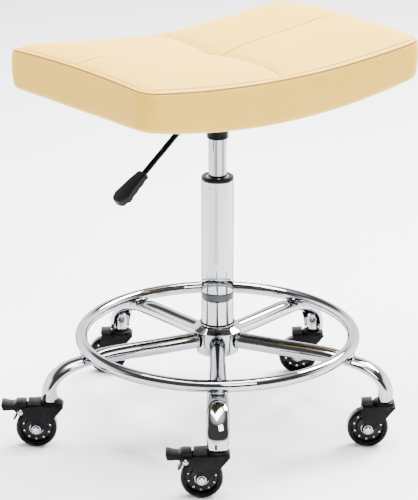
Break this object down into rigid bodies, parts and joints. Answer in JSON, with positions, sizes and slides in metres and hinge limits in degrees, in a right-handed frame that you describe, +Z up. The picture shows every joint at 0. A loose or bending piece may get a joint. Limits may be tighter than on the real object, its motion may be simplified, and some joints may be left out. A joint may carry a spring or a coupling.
{
  "type": "adjustable swivel stool",
  "caption": "Padded saddle seat on a gas lift with a release lever, a chrome base with a foot ring and swivel casters, some with foot brakes.",
  "frame": {"origin": "on the floor, on the axis of the column", "axes": "+Z up along the column, -Y along the front leg, +X to the right of a person who looks from the front leg to the column"},
  "size_m": [0.632, 0.5762, 0.633],
  "materials": {
    "chrome": "mirror bright chrome plate",
    "brushed_nut": "satin turned steel",
    "zinc_steel": "bright zinc plated steel",
    "black_paint": "semi gloss black powder coat",
    "black_nylon": "moulded black nylon",
    "smoke_plastic": "smoky translucent plastic",
    "wheel_core": "moulded black core",
    "wheel_tyre": "glossy dark polyurethane",
    "cream_vinyl": "cream faux leather with a fine grain and sewn seams",
    "foam": "upholstery foam",
    "plywood": "moulded plywood",
    "black_cloth": "non woven black dust cloth",
    "grip_plastic": "soft black grip plastic"
  },
  "bodies": {
    "base": {"leg_front": "chrome", "cone_nut_front": "brushed_nut", "caster_front_stem": "zinc_steel", "leg_right": "chrome", "cone_nut_right": "brushed_nut", "caster_right_stem": "zinc_steel", "leg_back_right": "chrome", "cone_nut_back_right": "brushed_nut", "caster_back_right_stem": "zinc_steel", "leg_back_left": "chrome", "cone_nut_back_left": "brushed_nut", "caster_back_left_stem": "zinc_steel", "leg_left": "chrome", "cone_nut_left": "brushed_nut", "caster_left_stem": "zinc_steel", "foot_ring": "chrome", "hub": "chrome", "hub_collar": "chrome", "reducer_bush": "smoke_plastic", "outer_column": "chrome", "guide_bush": "black_nylon", "thrust_bearing": "zinc_steel"},
    "lift_rod": {"piston_rod": "zinc_steel"},
    "seat": {"pressure_tube": "chrome", "seat_plate": "black_paint", "seat_board": "plywood", "seat_foam": "foam", "seat_cover": "cream_vinyl", "dust_cloth": "black_cloth", "seat_screw_1": "zinc_steel", "seat_screw_2": "zinc_steel", "seat_screw_3": "zinc_steel", "seat_screw_4": "zinc_steel"},
    "lever": {"lever_rod": "black_paint", "lever_grip": "grip_plastic"},
    "button": {"release_button": "brushed_nut"},
    "caster_front": {"caster_front_fork": "black_paint", "caster_front_axle": "zinc_steel", "caster_front_pedal_pin": "zinc_steel"},
    "wheel_front": {"caster_front_rim": "wheel_core", "caster_front_tyre": "wheel_tyre"},
    "brake_front": {"caster_front_brake_pedal": "black_nylon"},
    "caster_right": {"caster_right_fork": "black_paint", "caster_right_axle": "zinc_steel"},
    "wheel_right": {"caster_right_rim": "wheel_core", "caster_right_tyre": "wheel_tyre"},
    "caster_back_right": {"caster_back_right_fork": "black_paint", "caster_back_right_axle": "zinc_steel"},
    "wheel_back_right": {"caster_back_right_rim": "wheel_core", "caster_back_right_tyre": "wheel_tyre"},
    "caster_back_left": {"caster_back_left_fork": "black_paint", "caster_back_left_axle": "zinc_steel"},
    "wheel_back_left": {"caster_back_left_rim": "wheel_core", "caster_back_left_tyre": "wheel_tyre"},
    "caster_left": {"caster_left_fork": "black_paint", "caster_left_axle": "zinc_steel", "caster_left_pedal_pin": "zinc_steel"},
    "wheel_left": {"caster_left_rim": "wheel_core", "caster_left_tyre": "wheel_tyre"},
    "brake_left": {"caster_left_brake_pedal": "black_nylon"}
  },
  "joints": [
    {"name": "seat_swivel", "type": "hinge", "parent": "base", "child": "lift_rod", "pos_m": [0, 0, 0.15], "axis": [0, 0, 1], "continuous": true},
    {"name": "seat_height", "type": "slide", "parent": "lift_rod", "child": "seat", "axis": [0, 0, 1], "range_m": [-0.05, 0.065]},
    {"name": "lever_lift", "type": "hinge", "parent": "seat", "child": "lever", "pos_m": [-0.01264, -0.01061, 0.509], "axis": [-0.6428, 0.766, 0], "range_deg": [0, 6], "stiffness_Nm_per_rad": 1.5},
    {"name": "button_press", "type": "slide", "parent": "seat", "child": "button", "axis": [0, 0, -1], "range_m": [0, 0.0024]},
    {"name": "caster_front_swivel", "type": "hinge", "parent": "base", "child": "caster_front", "pos_m": [0, -0.2667, 0.07], "axis": [0, 0, 1], "continuous": true},
    {"name": "wheel_front_spin", "type": "hinge", "parent": "caster_front", "child": "wheel_front", "pos_m": [-0.0235, -0.2667, 0.0314], "axis": [0, 1, 0], "continuous": true},
    {"name": "brake_front_press", "type": "hinge", "parent": "caster_front", "child": "brake_front", "pos_m": [-0.047, -0.2667, 0.0596], "axis": [0, -1, 0], "range_deg": [0, 10]},
    {"name": "caster_right_swivel", "type": "hinge", "parent": "base", "child": "caster_right", "pos_m": [0.25365, -0.08242, 0.07], "axis": [0, 0, 1], "continuous": true},
    {"name": "wheel_right_spin", "type": "hinge", "parent": "caster_right", "child": "wheel_right", "pos_m": [0.23015, -0.08242, 0.0314], "axis": [0, 1, 0], "continuous": true},
    {"name": "caster_back_right_swivel", "type": "hinge", "parent": "base", "child": "caster_back_right", "pos_m": [0.15676, 0.21577, 0.07], "axis": [0, 0, 1], "continuous": true},
    {"name": "wheel_back_right_spin", "type": "hinge", "parent": "caster_back_right", "child": "wheel_back_right", "pos_m": [0.13326, 0.21577, 0.0314], "axis": [0, 1, 0], "continuous": true},
    {"name": "caster_back_left_swivel", "type": "hinge", "parent": "base", "child": "caster_back_left", "pos_m": [-0.15676, 0.21577, 0.07], "axis": [0, 0, 1], "continuous": true},
    {"name": "wheel_back_left_spin", "type": "hinge", "parent": "caster_back_left", "child": "wheel_back_left", "pos_m": [-0.18026, 0.21577, 0.0314], "axis": [0, 1, 0], "continuous": true},
    {"name": "caster_left_swivel", "type": "hinge", "parent": "base", "child": "caster_left", "pos_m": [-0.25365, -0.08242, 0.07], "axis": [0, 0, 1], "continuous": true},
    {"name": "wheel_left_spin", "type": "hinge", "parent": "caster_left", "child": "wheel_left", "pos_m": [-0.27715, -0.08242, 0.0314], "axis": [0, 1, 0], "continuous": true},
    {"name": "brake_left_press", "type": "hinge", "parent": "caster_left", "child": "brake_left", "pos_m": [-0.30065, -0.08242, 0.0596], "axis": [0, -1, 0], "range_deg": [0, 10]}
  ],
  "couplings": [
    {"joint": "button_press", "follows": "lever_lift", "m_per_rad": 0.0205}
  ]
}
